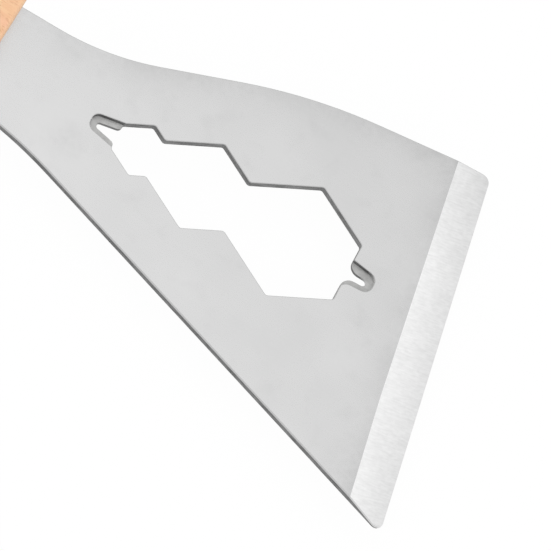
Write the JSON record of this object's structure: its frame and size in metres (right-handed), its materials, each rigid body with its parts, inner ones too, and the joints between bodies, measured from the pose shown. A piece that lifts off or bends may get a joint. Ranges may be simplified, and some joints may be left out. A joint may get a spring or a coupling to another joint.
{
  "type": "putty knife",
  "caption": "Full-tang putty knife with a skewed, bevelled scraping edge, a chain of hexagonal wrench openings with nail notches, and a riveted beech handle.",
  "frame": {"origin": "on the flat of the back scale, halfway along the handle, on the handle's middle line", "axes": "+X along the handle towards the scraping edge, +Y towards the blade's short upper edge, +Z out of the ground front face"},
  "size_m": [0.2234, 0.0742, 0.0181],
  "materials": {
    "steel": "satin",
    "wood": "oiled",
    "brass": "turned flush"
  },
  "bodies": {
    "root": {"blade": "steel", "front_scale": "wood", "back_scale": "wood", "neck_rivet_barrel": "brass", "neck_rivet_pin": "brass", "middle_rivet_barrel": "brass", "middle_rivet_pin": "brass", "butt_rivet_barrel": "brass", "butt_rivet_pin": "brass", "hanging_eyelet": "brass", "eyelet_washer": "brass"}
  },
  "joints": []
}
